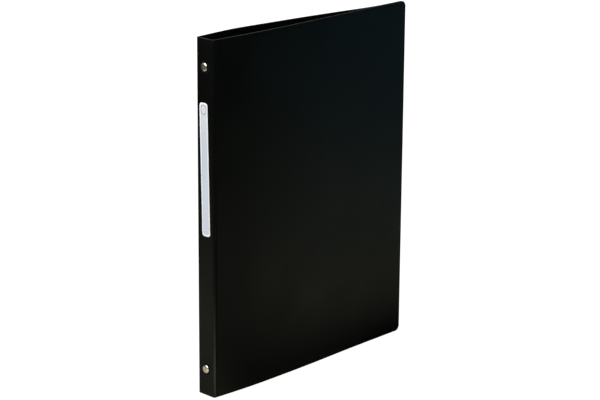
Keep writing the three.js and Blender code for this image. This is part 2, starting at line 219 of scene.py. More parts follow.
def nickel_plate(name, roughest, smoothest):
    """Warm metal whose roughness wanders between two limits, with fine marks, and painted
    nearly black, as shade, where the mesh marks the rim of a rivet head."""
    material, tree, shader = blank_material(name)
    place_on = add(tree, "TexCoord").outputs["Object"]
    stain = add(tree, "TexNoise", {"Vector": place_on, "Scale": per_mm(STAIN_SIZE),
                                   "Detail": 4.0})
    tint = add(tree, "ValToRGB", {"Fac": stain.outputs["Fac"]})
    tint.color_ramp.elements[0].position = 0.3
    tint.color_ramp.elements[0].color = linear("#cabdb2")
    tint.color_ramp.elements[1].position = 0.65
    tint.color_ramp.elements[1].color = linear("#e4d9d0")
    # Painted shade: towards the rim of a rivet head the tint turns nearly black, standing in
    # for the shadow where the head meets the sheet
    painted_rim_shade = add(tree, "Attribute", attribute_name="painted_rim_shade").outputs["Fac"]
    shown = add(tree, "Mix", {"Factor": painted_rim_shade, 6: tint.outputs["Color"],
                              7: linear("#1d1a18")}, data_type="RGBA")
    tree.links.new(shown.outputs[2], shader.inputs["Base Color"])
    gloss = add(tree, "MapRange", {"Value": stain.outputs["Fac"], "To Min": roughest,
                                   "To Max": smoothest})
    tree.links.new(gloss.outputs["Result"], shader.inputs["Roughness"])
    along = add(tree, "Mapping", {"Vector": place_on, "Scale": (1.0, 1.0, STRETCH)})
    marks = add(tree, "TexNoise", {"Vector": along.outputs["Vector"],
                                   "Scale": per_mm(DRAWN_MARK), "Detail": 1.0})
    bump = add(tree, "Bump", {"Height": marks.outputs["Fac"], "Strength": 0.2,
                              "Distance": 0.01 * MM})
    tree.links.new(bump.outputs["Normal"], shader.inputs["Normal"])
    shader.inputs["Metallic"].default_value = 1.0
    return material


def zinc_plate():
    """Cool metal with flat-sided patches of slightly different grey, as zinc crystals."""
    material, tree, shader = blank_material("zinc_plated_steel")
    place_on = add(tree, "TexCoord").outputs["Object"]
    crystals = add(tree, "TexVoronoi", {"Vector": place_on, "Scale": per_mm(CRYSTAL_SIZE)})
    grey = add(tree, "SeparateColor", {"Color": crystals.outputs["Color"]})
    tint = add(tree, "ValToRGB", {"Fac": grey.outputs["Red"]})
    tint.color_ramp.elements[0].color = linear("#a7abb0")
    tint.color_ramp.elements[1].color = linear("#c3c7cb")
    tree.links.new(tint.outputs["Color"], shader.inputs["Base Color"])
    gloss = add(tree, "MapRange", {"Value": grey.outputs["Green"], "To Min": 0.32,
                                   "To Max": 0.48})
    tree.links.new(gloss.outputs["Result"], shader.inputs["Roughness"])
    rolled = add(tree, "TexNoise", {"Vector": place_on, "Scale": per_mm(ROLLED_MARK),
                                    "Detail": 3.0})
    bump = add(tree, "Bump", {"Height": rolled.outputs["Fac"], "Strength": 0.2,
                              "Distance": 0.01 * MM})
    tree.links.new(bump.outputs["Normal"], shader.inputs["Normal"])
    shader.inputs["Metallic"].default_value = 1.0
    return material


NICKEL = nickel_plate("bright_nickel_plate", 0.37, 0.27)
TUMBLED = nickel_plate("tumbled_nickel_plate", 0.42, 0.32)
ZINC = zinc_plate()
print("made", NICKEL.name, TUMBLED.name, "and", ZINC.name)

# %% [markdown]
# ## Meshes from arrays
#
# Nearly every piece is a stack of closed loops of points: a section that is carried along
# a line, or a profile that is turned about an axis. Joining each loop to the next gives
# four-sided faces, and one face fills each end, so the result is a closed solid. Modelling
# by hand would give the same shape, but an array is exact and easy to change.

# %% Closed solids from stacked loops
def loop_faces(stack, count, endless=False):
    """Faces of a stack of closed loops: point j of loop i joins point j + 1, wrapping
    round, and both join the next loop. Where the stack is endless its last loop joins the
    first, and otherwise one face fills each end."""
    index = np.arange(stack * count).reshape(stack, count)
    beside = np.roll(index, -1, axis=1)
    lower, upper = (index, np.roll(index, -1, axis=0)) if endless else (index[:-1], index[1:])
    next_lower = beside if endless else beside[:-1]
    next_upper = np.roll(beside, -1, axis=0) if endless else beside[1:]
    quads = np.stack([lower, next_lower, next_upper, upper], axis=-1).reshape(-1, 4).tolist()
    return quads if endless else [*quads, index[0][::-1].tolist(), index[-1].tolist()]


def close_and_shade(mesh, sharp_angle):
    """Merges doubled points, points the faces outwards, and keeps a crisp line only where
    the surface turns by more than the sharp angle."""
    shape = bmesh.new()
    shape.from_mesh(mesh)
    bmesh.ops.remove_doubles(shape, verts=shape.verts, dist=1e-7)
    bmesh.ops.recalc_face_normals(shape, faces=shape.faces)
    shape.to_mesh(mesh)
    shape.free()
    mesh.shade_smooth()
    mesh.set_sharp_from_angle(angle=math.radians(sharp_angle))


def body_of(node):
    """The CAD body that holds a node."""
    bodies = frame["record"]["behaviour"]["bodies"]
    return next(name for name, nodes in bodies.items() if node in nodes)


def piece_from_loops(name, loops, material, node, sharp_angle=40, endless=False,
                     marks=None):
    """An object whose mesh is the stacked loops, drawn in millimetres. Marks are values
    for each point that the material reads. The CAD node it stands in for is hidden."""
    mesh = bpy.data.meshes.new(name)
    faces = loop_faces(loops.shape[0], loops.shape[1], endless)
    mesh.from_pydata(place(loops.reshape(-1, 3)).tolist(), [], faces)
    for mark, values in (marks or {}).items():
        layer = mesh.attributes.new(mark, "FLOAT", "POINT")
        layer.data.foreach_set("value", np.asarray(values, np.float32).ravel())
    close_and_shade(mesh, sharp_angle)
    mesh.materials.append(material)
    piece = bpy.data.objects.new(name, mesh)
    bpy.context.collection.objects.link(piece)
    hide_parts(node)
    print(name, len(mesh.polygons), "faces")
    return piece


# %% [markdown]
# ## The plan of the sheet
#
# Seen from above, the sheet is a line: round each corner of the spine, through the crease,
# and along a cover that bulges over the rings and then pinches shut. The cover's line goes
# smoothly through seven points, by the same spline as the CAD model, so both agree. A
# plane with a Curve modifier could bend the same way, but its edges would not be known.

# %% Lines of the covers and the spine
SHEET_THICKNESS = 1.0
CREASE_X = 2.6
CREASE_HALF = 0.5
COVER_START = CREASE_X + CREASE_HALF
FLANGE_END = CREASE_X - CREASE_HALF
FOLD_RADIUS = 1.8
SHUT_GAP = 0.3
HALF_GAP_SHARES = np.array([1, 1.25, 1.07, 0.8, 0.42, 0.05, 0])
DRIFT_SHARES = np.array([0, 0.05, 0.015, -0.01, -0.05, -0.11, -0.04])


def spline(nodes, steps):
    """Points on a curve through all nodes. Between two nodes it is a cubic, and its slope
    at each node is half the step between that node's neighbours."""
    padded = np.concatenate([nodes[:1], nodes, nodes[-1:]])
    t = np.linspace(0, len(nodes) - 1, steps)
    i = np.minimum(t.astype(int), len(nodes) - 2)
    w = (t - i)[:, None]
    before, start, end, after = (padded[i + k] for k in range(4))
    leave, arrive = (end - before) / 2, (after - start) / 2
    return ((2 * start - 2 * end + leave + arrive) * w ** 3
            + (3 * end - 3 * start - 2 * leave - arrive) * w ** 2 + leave * w + start)


def cover_line(side):
    """Middle line of a cover in plan: the middle of the binder plus its drift, and half
    the gap plus half a thickness towards the side, -1 for front and 1 for back."""
    x = np.linspace(COVER_START, DEPTH, len(HALF_GAP_SHARES))
    inside = MIDDLE - SHEET_THICKNESS
    half_gap = SHUT_GAP / 2 + HALF_GAP_SHARES * (inside - SHUT_GAP / 2)
    y = MIDDLE + DRIFT_SHARES * SPINE_WIDTH + side * (half_gap + SHEET_THICKNESS / 2)
    return spline(np.stack([x, y], axis=1), 900)


def spine_line():
    """Middle line of the spine in plan: a flange, a quarter circle and half the flat back,
    then the same three mirrored."""
    radius = FOLD_RADIUS - SHEET_THICKNESS / 2
    turn = np.linspace(0, math.pi / 2, 15)
    flange = np.stack([np.linspace(FLANGE_END, FOLD_RADIUS, 3)[:-1],
                       np.full(2, SHEET_THICKNESS / 2)], axis=1)
    corner = FOLD_RADIUS - radius * np.stack([np.sin(turn), np.cos(turn)], axis=1)
    flat = np.stack([np.full(24, SHEET_THICKNESS / 2),
                     np.linspace(FOLD_RADIUS, MIDDLE, 25)[1:]], axis=1)
    half = np.concatenate([flange, corner, flat])
    return np.concatenate([half, half[::-1][1:] * (1, -1) + (0, SPINE_WIDTH)])


def outward_of(line):
    """Unit normals of a plan line, a quarter turn to the left of its direction."""
    along = np.gradient(line, axis=0)
    along /= np.linalg.norm(along, axis=1, keepdims=True)
    return np.stack([-along[:, 1], along[:, 0]], axis=1)


print("front cover bulges to y", round(float(cover_line(-1)[:, 1].min()), 2), "mm")

# %% [markdown]
# ## Giving the line a thickness and a height
#
# At every station of the line the sheet has a section: a tall, thin rectangle with small
# rounded edges. The sections stacked along the line make the sheet. Solidify and Bevel
# could do nearly the same, but a section written out also carries the pressed crease and
# the rounded fore-edge corners, and knows which of its points were cut by the shear.

# %% Section of the sheet
EDGE_ROUND = 0.18
GROOVE_WIDTH = 0.45
GROOVE_OUTER, GROOVE_INNER = 0.36, 0.29
FADE_AT_FACE, FADE_AT_FLANGE = 0.3, 0.4
RUBBED_BELOW, RUBBED_OVER = -0.35, 0.5
RIVET_HEIGHT = 130.0
WIDE_ROWS = np.linspace(-1, 1, 57)
NEAR_RIVETS = np.concatenate([s * RIVET_HEIGHT + np.linspace(-8, 8, 21) for s in (-1, 1)])
ROWS = np.unique(np.round(np.concatenate([WIDE_ROWS, NEAR_RIVETS / (HEIGHT / 2)]), 5))


def section_table():
    """One row for each point of the section: the face it is on, its height as a share of
    the half height, and the shares of the rounding taken off its offset and height."""
    turn = np.linspace(0, math.pi / 2, 5)[1:]
    ones = np.ones(4)
    face = np.stack([np.ones_like(ROWS), ROWS, np.zeros_like(ROWS), np.abs(ROWS)], axis=1)
    rim = np.stack([ones, ones, 1 - np.cos(turn), 1 - np.sin(turn)], axis=1)
    half = np.concatenate([face, rim, rim[::-1] * (-1, 1, 1, 1)])
    return np.concatenate([half, half * (-1, -1, 1, 1)])


SECTION = section_table()
CUT = (SECTION[:, 2] > 0.2).astype(float)


def sheet_loops(line, outward, half_height, half_thick, centre):
    """One loop for each station. A point lies off the line by the centre's shift plus or
    minus the half thickness less its rounding, and at its share of the half height less
    its rounding."""
    face, share, inset, lower = (SECTION[:, k][None, :] for k in range(4))
    rounding = np.minimum(EDGE_ROUND, 0.8 * half_thick)[:, None]
    offset = centre[:, None] + face * (half_thick[:, None] - rounding * inset)
    plan = line[:, None, :] + outward[:, None, :] * offset[..., None]
    z = half_height[:, None] * share - rounding * np.sign(share) * lower
    return np.concatenate([plan, z[..., None]], axis=-1)


def pressed(x):
    """Half thickness and shift of the middle at distance x from the spine's face. The
    crease is a bell-shaped groove in both faces, a little deeper outside."""
    bell = np.exp(-((x - CREASE_X) / GROOVE_WIDTH) ** 2)
    outer, inner = GROOVE_OUTER * bell, GROOVE_INNER * bell
    return (SHEET_THICKNESS - outer - inner) / 2, (inner - outer) / 2


def sheet_marks(x, cut=CUT):
    """What the sheet material reads at each point. The cut edge comes from the section, and
    pressed is a bell twice as wide as the groove. Polished is the fold, from below the
    middle, rising to full near the foot, where it rubs along a shelf."""
    pressed_in = np.exp(-((x - CREASE_X) / (2 * GROOVE_WIDTH)) ** 2)
    folded = (np.clip(x / FADE_AT_FACE, 0, 1)
              * np.clip((FOLD_RADIUS - x) / FADE_AT_FLANGE, 0, 1))
    rubbed = np.clip((RUBBED_BELOW - SECTION[:, 1]) / RUBBED_OVER, 0, 1)
    count = np.ones(len(SECTION))
    return {"cut_edge": np.zeros((len(x), 1)) + cut, "pressed": pressed_in[:, None] * count,
            "polished": folded[:, None] * rubbed}


print("section of", len(SECTION), "points, web of", round(2 * float(pressed(CREASE_X)[0]), 2))

# %% [markdown]
# ## Spine
#
# The spine is the middle panel. Its two long corners were folded warm, so they are round,
# and the shelf has rubbed their lower ends smooth. Each rivet was pressed home and dishes
# the sheet under its head, which is a small bell-shaped dip in the outer face.

# %% Spine piece
RIVET_HEAD = 3.75
DISH_DEPTH = 0.16
DISH_FADE = 1.2


def dish(loops):
    """The loops with the outer face pushed in round each rivet, and how much at each point
    from 0 to 1: fully under the head, and fading over about 1.5 mm beyond it."""
    away = np.hypot(loops[..., 1] - MIDDLE, np.abs(loops[..., 2]) - RIVET_HEIGHT)
    near = np.exp(-(np.maximum(away - RIVET_HEAD, 0) / DISH_FADE) ** 2)
    share = np.where(SECTION[:, 0][None, :] > 0, near, 0)
    loops[..., 0] += DISH_DEPTH * share
    return loops, share


line = spine_line()
half_thick, centre = pressed(line[:, 0])
loops, dished = dish(sheet_loops(line, outward_of(line), np.full(len(line), HEIGHT / 2),
                                 half_thick, centre))
marks = sheet_marks(line[:, 0] - SHEET_THICKNESS / 2)
marks["pressed"] = np.maximum(marks["pressed"], dished)
spine = piece_from_loops("spine_sheet", loops, SHEET, "spine", marks=marks)
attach(spine, body_of("spine"))

# %% [markdown]
# ## Covers
#
# A cover starts at the crease and ends in a fore-edge with two rounded corners. Stations
# crowd together at both ends, where the groove and the corners need them. Extruded sheet
# is never quite flat, so the cover also sways inwards by up to a quarter of a millimetre,
# which bends the reflections as on the real thing.

# %% Cover pieces
FORE_CORNER = 5.0
GROOVE_REACH = 1.5
SWAY = 0.08


def stations():
    """Distances x of the sections: close together over the groove, even along the panel,
    and at equal angles round the fore-edge corner."""
    groove = np.linspace(COVER_START, COVER_START + GROOVE_REACH, 9)
    panel = np.linspace(COVER_START + GROOVE_REACH, DEPTH - FORE_CORNER, 66)[1:]
    corner = DEPTH - FORE_CORNER + FORE_CORNER * np.sin(np.linspace(0, math.pi / 2, 16)[1:])
    return np.concatenate([groove, panel, corner])


def corner_height(x):
    """Half height at x: full along the panel, and a quarter circle down at the end."""
    past = np.maximum(x - (DEPTH - FORE_CORNER), 0)
    return HEIGHT / 2 - FORE_CORNER + np.sqrt(np.maximum(FORE_CORNER ** 2 - past ** 2, 0))


def blunt(x, half_thick):
    """The half thickness with the fore-edge rounded over the last bit by a circle."""
    into = np.clip(EDGE_ROUND - (DEPTH - x), 0, EDGE_ROUND)
    return half_thick - EDGE_ROUND + np.sqrt(EDGE_ROUND ** 2 - into ** 2)


def sway(x, z, side):
    """Inward sway in millimetres: two long waves, kept from zero to full and faded out at
    the crease and the fore-edge."""
    waves = (np.sin(x / 31 + side) * np.cos(z / 47 + 2 * side)
             + 0.5 * np.sin(x / 19 + z / 63 - side))
    fade = np.clip((x - COVER_START) / 25, 0, 1) * np.clip((DEPTH - x) / 60, 0, 1)
    return SWAY * (waves + 1.5) * fade


def cover_piece(place_name, side):
    """One cover, side -1 for the front and 1 for the back."""
    fine = cover_line(side)
    x = stations()
    line = np.stack([x, np.interp(x, fine[:, 0], fine[:, 1])], axis=1)
    normal = side * outward_of(fine)
    outward = np.stack([np.interp(x, fine[:, 0], normal[:, k]) for k in (0, 1)], axis=1)
    half_thick, centre = pressed(x)
    loops = sheet_loops(line, outward, corner_height(x), blunt(x, half_thick), centre)
    loops[..., 1] -= side * sway(loops[..., 0], loops[..., 2], side)
    loops[..., 0] = np.minimum(loops[..., 0], DEPTH)
    cut = np.maximum(CUT, (x > DEPTH - EDGE_ROUND / 3)[:, None])
    name = f"{place_name}_cover"
    piece = piece_from_loops(f"{name}_sheet", loops, SHEET, name,
                             marks=sheet_marks(x, cut))
    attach(piece, body_of(name))


cover_piece("front", -1)
cover_piece("back", 1)

# %% [markdown]
# ## Creases
#
# The living hinge is the same sheet, squeezed to a third of its thickness. The plastic in
# it is drawn out by folding, so a cover can turn half a circle without a gap. Each crease
# is a strip of its own here, drawn flat between the flange and a cover.

# %% Crease pieces
def crease_piece(place_name, side):
    """The strip between the flange and a cover, with the pressed groove across it."""
    x = np.linspace(FLANGE_END, COVER_START, 21)
    y = np.full_like(x, SHEET_THICKNESS / 2)
    line = np.stack([x, y if side < 0 else SPINE_WIDTH - y], axis=1)
    outward = np.tile((0.0, side), (len(x), 1))
    half_thick, centre = pressed(x)
    loops = sheet_loops(line, outward, np.full(len(x), HEIGHT / 2), half_thick, centre)
    node = f"{place_name}_hinge_web"
    piece = piece_from_loops(f"{place_name}_crease", loops, SHEET, node,
                             marks=sheet_marks(x))
    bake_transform(piece)


crease_piece("front", -1)
crease_piece("back", 1)

# %% [markdown]
# ## Turned parts
#
# Rivets, tube posts and lever pins are round, so each is a profile turned about its axis.
# A rivet here is one closed profile from the dimple in its dome, over the head, along the
# shank and out over the clench that holds the post. The post is a tube, so its profile is
# a closed line, and the turned loops join up endlessly.

# %% Rivets, posts and pins
HOUSING_BASE = 1.1
HOUSING_CROWN = 4.2
SHANK = 1.1
POST_BORE = 1.4
POST_RADIUS = 1.9
POST_FLANGE = 2.9
FLANGE_FROM = HOUSING_BASE + HOUSING_CROWN + 0.05
FLANGE_TO = FLANGE_FROM + 0.5
# Radius at which the painted shade round the rim of a rivet head begins
PAINTED_SHADE_FROM = 3.15
HEAD_RISE = 1.6
HEAD_SUNK = 0.02
DIMPLE_RADIUS = 0.9
DIMPLE_DEPTH = 0.25
SQUARER = 0.85
TURN = np.linspace(0, 2 * math.pi, 48, endpoint=False)


def turned(profile, y, z):
    """Loops of a profile of (radius, x) turned about a line along x through y and z."""
    radius, x = (np.asarray(profile, float)[:, k][:, None] for k in (0, 1))
    return np.stack([x + 0 * TURN, y + radius * np.cos(TURN), z + radius * np.sin(TURN)],
                    axis=-1)


def rivet_profile():
    """Dimple: a cosine dip. Dome: a quarter of an ellipse drawn a little square, by raising
    sine and cosine to a power just under one. Then under the head to the shank, and a
    rolled clench at the far end."""
    inner = np.linspace(0, DIMPLE_RADIUS, 9)
    dip = DIMPLE_DEPTH * (1 + np.cos(math.pi * inner / DIMPLE_RADIUS)) / 2
    dimple = np.stack([inner, dip - HEAD_RISE], axis=1)
    swing = np.linspace(0, math.pi / 2, 25)[1:]
    across, rise = np.sin(swing) ** SQUARER, np.maximum(np.cos(swing), 0) ** SQUARER
    rim = DISH_DEPTH - HEAD_SUNK
    dome = np.stack([DIMPLE_RADIUS + (RIVET_HEAD - DIMPLE_RADIUS) * across,
                     rim - (HEAD_RISE + rim) * rise], axis=1)
    under = [(RIVET_HEAD - 0.15, DISH_DEPTH), (SHANK, DISH_DEPTH + HEAD_SUNK)]
    roll = np.linspace(0, math.pi, 9)
    clench = np.stack([1.5 + 0.4 * np.sin(roll), FLANGE_TO + 0.25 - 0.25 * np.cos(roll)],
                      axis=1)
    return [*dimple, *dome, *under, (SHANK, FLANGE_TO), *clench,
            (SHANK, FLANGE_TO + 0.5), (0.8, FLANGE_TO + 0.15), (0, FLANGE_TO + 0.1)]


POST_PROFILE = [(POST_BORE, HOUSING_BASE - 0.1), (POST_RADIUS, HOUSING_BASE - 0.1),
                (POST_RADIUS, FLANGE_FROM), (POST_FLANGE - 0.1, FLANGE_FROM),
                (POST_FLANGE, FLANGE_FROM + 0.1), (POST_FLANGE, FLANGE_TO - 0.15),
                (POST_FLANGE - 0.15, FLANGE_TO), (POST_BORE + 0.1, FLANGE_TO),
                (POST_BORE, FLANGE_TO - 0.1)]

for end, z in (("bottom", -RIVET_HEIGHT), ("top", RIVET_HEIGHT)):
    node = f"{end}_rivet"
    profile = np.array(rivet_profile())
    # Painted shade at the rim of the head, rising from nothing to full over its outer part
    painted_rim_shade = np.clip((profile[:, 0] - PAINTED_SHADE_FROM) / (RIVET_HEAD - PAINTED_SHADE_FROM), 0, 1)[:, None]
    piece = piece_from_loops(f"{node}_turned", turned(profile, MIDDLE, z), TUMBLED, node,
                             marks={"painted_rim_shade": painted_rim_shade + 0 * TURN})
    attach(piece, body_of(node))
    node = f"{end}_rivet_post"
    piece = piece_from_loops(f"{node}_turned", turned(POST_PROFILE, MIDDLE, z), ZINC, node,
                             endless=True)
    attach(piece, body_of(node))

# %% Lever pins
PIVOT_X = HOUSING_BASE + 1.9
LEVER_PIVOT = RIVET_HEIGHT + 6.3
PIN_RADIUS = 0.6
PIN_HALF = 7.3
PEENED = 0.3


def pin_loops(z):
    """A rod across the housing, peened at its ends: over the last 0.3 mm the radius falls
    as a quarter circle does."""
    swing = np.linspace(0, math.pi / 2, 6)
    radius = PIN_RADIUS - PEENED + PEENED * np.sin(swing)
    y = PIN_HALF - PEENED + PEENED * np.cos(swing)
    radius = np.concatenate([radius, radius[::-1]])[:, None]
    y = np.concatenate([-y, y[::-1]])[:, None]
    return np.stack([PIVOT_X + radius * np.cos(TURN), MIDDLE + y + 0 * TURN,
                     z + radius * np.sin(TURN)], axis=-1)


for end, z in (("bottom", -LEVER_PIVOT), ("top", LEVER_PIVOT)):
    node = f"{end}_lever_pin"
    piece = piece_from_loops(f"{node}_turned", pin_loops(z), ZINC, node)
    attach(piece, body_of(node))

# %% [markdown]
# ## Rings
#
# Each ring is two bent wires. The front tip is turned down to a tenon, and the back tip is
# drilled to take it, so shut rings lock. A wire half is a bent cylinder whose every line
# runs on until it meets the rail, which gives the slanted foot that a butted wire has.
# Below the foot, a neck goes through the rail and is riveted over.

# %% Ring pieces
WIRE = 1.1
RING_RADIUS = 6.3
FOOT_Y = 4.2
RAIL_TOP = 3.34
RAIL_UNDER = 2.45
RING_CENTRE_X = 8.2454
RING_PITCH = 80
FIRST_ANGLE = 0.045
AROUND = np.linspace(0, 2 * math.pi, 28, endpoint=False)
# Profiles as radius and place along the axis, in the order of the loops
TENON = ((0.15, -0.75), (0.36, -0.68), (0.45, -0.5), (0.45, 0.15))
SOCKET = ((0.1, 1.25), (0.8, 1.15), (0.8, 0.2), (0.85, 0.15))
SHOULDER = ((WIRE - 0.15, 0.15), (WIRE - 0.04, 0.19))
NECK = ((0.7, RAIL_TOP), (0.7, RAIL_UNDER), (1.25, RAIL_UNDER), (1.25, RAIL_UNDER - 0.2),
        (0.95, RAIL_UNDER - 0.4))


def straight(radius, y):
    """A loop round the tip's axis, which lies along y through the top of the ring."""
    tip = RING_CENTRE_X + RING_RADIUS
    return np.stack([tip + radius * np.cos(AROUND), y + 0 * AROUND,
                     radius * np.sin(AROUND)], axis=-1)


def upright(radius, x):
    """A loop round the neck's axis, which lies along x through the foot."""
    return np.stack([x + 0 * AROUND, FOOT_Y + radius * np.cos(AROUND),
                     radius * np.sin(AROUND)], axis=-1)


def wire_loops():
    """Line by line, the angle runs from the tip to where the line's distance from the
    ring's centre brings it down to the rail's top."""
    reach = RING_RADIUS + WIRE * np.cos(AROUND)
    last = np.arccos((RAIL_TOP - RING_CENTRE_X) / reach)
    share = np.linspace(0, 1, 31)[:, None]
    angle = FIRST_ANGLE + (last - FIRST_ANGLE) * share
    return np.stack([RING_CENTRE_X + reach * np.cos(angle), reach * np.sin(angle),
                     WIRE * np.sin(AROUND) + 0 * angle], axis=-1)


def ring_half(side):
    """Loops of one half, drawn for the back and mirrored for the front: the tip, the wire,
    then the neck and its riveted head."""
    tip = [straight(r, y) for r, y in (TENON if side < 0 else SOCKET) + SHOULDER]
    foot = [upright(r, x) for r, x in NECK]
    return np.concatenate([np.stack(tip), wire_loops(), np.stack(foot)]) * (1, side, 1)


for number in range(4):
    z = RING_PITCH * (number - 1.5)
    for half, side in (("front", -1), ("back", 1)):
        node = f"ring_{number + 1}_{half}_half"
        piece = piece_from_loops(f"{node}_wire", ring_half(side) + (0, MIDDLE, z), NICKEL,
                                 node)
        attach(piece, body_of(node))

# %% [markdown]
# ## Pressed parts
#
# The housing, the two carrier rails and the levers are stamped from strip and bent. Their
# CAD solids already have the right outline, slots and notches, so the shape is taken from
# there: the loose triangles are merged, flat areas are joined into single faces, and each
# stamped edge gets a very small rounding, which is what makes bent steel catch the light.

# %% Pressed pieces
def pressed_piece(node, material, rounding):
    """A merged copy of a CAD node with its edges rounded by a small bevel and its normals
    weighted by face area, so flats stay flat."""
    shape = bmesh.new()
    shape.from_mesh(frame["nodes"][node].data)
    bmesh.ops.remove_doubles(shape, verts=shape.verts, dist=1e-6)
    bmesh.ops.dissolve_limit(shape, angle_limit=math.radians(0.5), verts=shape.verts,
                             edges=shape.edges)
    name = f"{node}_pressed"
    mesh = bpy.data.meshes.new(name)
    shape.to_mesh(mesh)
    shape.free()
    mesh.materials.append(material)
    mesh.shade_smooth()
    piece = bpy.data.objects.new(name, mesh)
    bpy.context.collection.objects.link(piece)
    bevel = piece.modifiers.new("stamped edge", "BEVEL")
    bevel.width, bevel.segments = rounding * MM, 2
    bevel.limit_method, bevel.angle_limit = "ANGLE", math.radians(40)
    piece.modifiers.new("flats", "WEIGHTED_NORMAL").weight = 80
    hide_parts(node)
    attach(piece, body_of(node))
    print(name, len(mesh.polygons), "faces before rounding")


pressed_piece("mechanism_housing", NICKEL, 0.1)
for node in ("front_carrier_rail", "back_carrier_rail"):
    pressed_piece(node, ZINC, 0.08)
for node in ("bottom_lever", "top_lever"):
    pressed_piece(node, NICKEL, 0.1)

# %% [markdown]
# ## Spine label
#
# The label is paper, stuck on by hand a degree off straight. Its coating fills the fibres
# and leaves an even, almost matt white. A pale blue-grey writing field is printed inside a
# white border, with a thin grey oval at the top. The print is drawn by distance: for every
# point the material knows how far it is from the outline of the field and from the rim of
# the oval, so the lines stay crisp without an image.

# %% Label paper
FIELD_HALF = (3.3, 54.7)
FIELD_CORNER = 1.5
OVAL_UP = 50.8
OVAL_RADIUS = 3.2
OVAL_TALL = 1.25
OVAL_LINE, OVAL_INK = 0.42, 0.9
EDGE_LINE, EDGE_INK = 0.35, 0.3
# Real fibres are about 0.03 mm wide; they are drawn at 0.9 mm, as the clouds they form
FIBRE_SIZE = 0.9


def thin_line(tree, distance, at, half_width, ink):
    """A socket with the ink's strength where the distance is at the given value, fading
    to nothing at the half width to either side."""
    off = add(tree, "Math", {0: distance, 1: at}, operation="SUBTRACT")
    gap = add(tree, "Math", {0: off.outputs[0]}, operation="ABSOLUTE")
    return add(tree, "MapRange", {"Value": gap.outputs[0], "From Min": half_width,
                                  "From Max": 0.3 * half_width, "To Max": ink}
               ).outputs["Result"]


def printed_label():
    """White stock, tinted field, thin lines along the field's edge and round an oval."""
    material, tree, shader = blank_material("coated_label_paper")
    across = add(tree, "Attribute", attribute_name="label_across").outputs["Fac"]
    up = add(tree, "Attribute", attribute_name="label_up").outputs["Fac"]
    spot = add(tree, "CombineXYZ", {"X": across, "Y": up}).outputs["Vector"]
    mirrored = add(tree, "VectorMath", {0: spot}, operation="ABSOLUTE").outputs["Vector"]
    core = tuple(half - FIELD_CORNER for half in FIELD_HALF)
    beyond = add(tree, "VectorMath", {0: mirrored, 1: (*core, 0.0)}, operation="SUBTRACT")
    clear = add(tree, "VectorMath", {0: beyond.outputs["Vector"], 1: (0.0, 0.0, 0.0)},
                operation="MAXIMUM")
    reach = add(tree, "VectorMath", {0: clear.outputs["Vector"]}, operation="LENGTH")
    inside = add(tree, "MapRange", {"Value": reach.outputs["Value"],
                                    "From Min": FIELD_CORNER + 0.15,
                                    "From Max": FIELD_CORNER - 0.15})
    level = add(tree, "VectorMath", {0: spot, 1: (0.0, OVAL_UP, 0.0)},
                operation="SUBTRACT")
    squat = add(tree, "VectorMath", {0: level.outputs["Vector"],
                                     1: (1.0, 1 / OVAL_TALL, 1.0)}, operation="MULTIPLY")
    from_centre = add(tree, "VectorMath", {0: squat.outputs["Vector"]}, operation="LENGTH")
    oval = thin_line(tree, from_centre.outputs["Value"], OVAL_RADIUS, OVAL_LINE, OVAL_INK)
    edge = thin_line(tree, reach.outputs["Value"], FIELD_CORNER - 0.2, EDGE_LINE, EDGE_INK)
    lines = add(tree, "Math", {0: oval, 1: edge}, operation="MAXIMUM")
    # The field's tint is not even: along the height it is darkest a little above the middle and
    # palest, with a pink cast, at the top
    along = add(tree, "MapRange", {"Value": up, "From Min": -FIELD_HALF[1],
                                   "From Max": FIELD_HALF[1]})
    field = add(tree, "ValToRGB", {"Fac": along.outputs["Result"]})
    ramp = field.color_ramp.elements
    ramp[0].color, ramp[1].color = linear("#cfd7e2"), linear("#dad7de")
    for position, colour in ((0.30, "#ccd6e1"), (0.62, "#c6d0d9"), (0.86, "#cdd4dc")):
        ramp.new(position).color = linear(colour)
    stock = add(tree, "Mix", {"Factor": inside.outputs["Result"], 6: linear("#f2f5fa"),
                              7: field.outputs["Color"]}, data_type="RGBA")
    inked = add(tree, "Mix", {"Factor": lines.outputs[0], 6: stock.outputs[2],
                              7: linear("#7f7f89")}, data_type="RGBA")
    place_on = add(tree, "TexCoord").outputs["Object"]
    fibres = add(tree, "TexNoise", {"Vector": place_on, "Scale": per_mm(FIBRE_SIZE),
                                    "Detail": 4.0})
    fibre_tone = add(tree, "MapRange", {"Value": fibres.outputs["Fac"], "To Min": 0.95,
                                        "To Max": 1.0})
    toned = add(tree, "VectorMath", {0: inked.outputs[2], "Scale":
                                     fibre_tone.outputs["Result"]}, operation="SCALE")
    tree.links.new(toned.outputs["Vector"], shader.inputs["Base Color"])
    bump = add(tree, "Bump", {"Height": fibres.outputs["Fac"], "Strength": 0.15,
                              "Distance": 0.01 * MM})
    tree.links.new(bump.outputs["Normal"], shader.inputs["Normal"])
    shader.inputs["Roughness"].default_value = 0.55
    shader.inputs["IOR"].default_value = 1.5
    return material


LABEL = printed_label()
print("made", LABEL.name)

# %% Label piece
LABEL_HALF = (4.7, 56.5)
LABEL_CORNER = 2.6
LABEL_THICKNESS = 0.2
LABEL_CENTRE = (MIDDLE + 0.3, RIVET_HEIGHT - 30.0 - LABEL_HALF[1])
LABEL_TILT = math.radians(1.3)


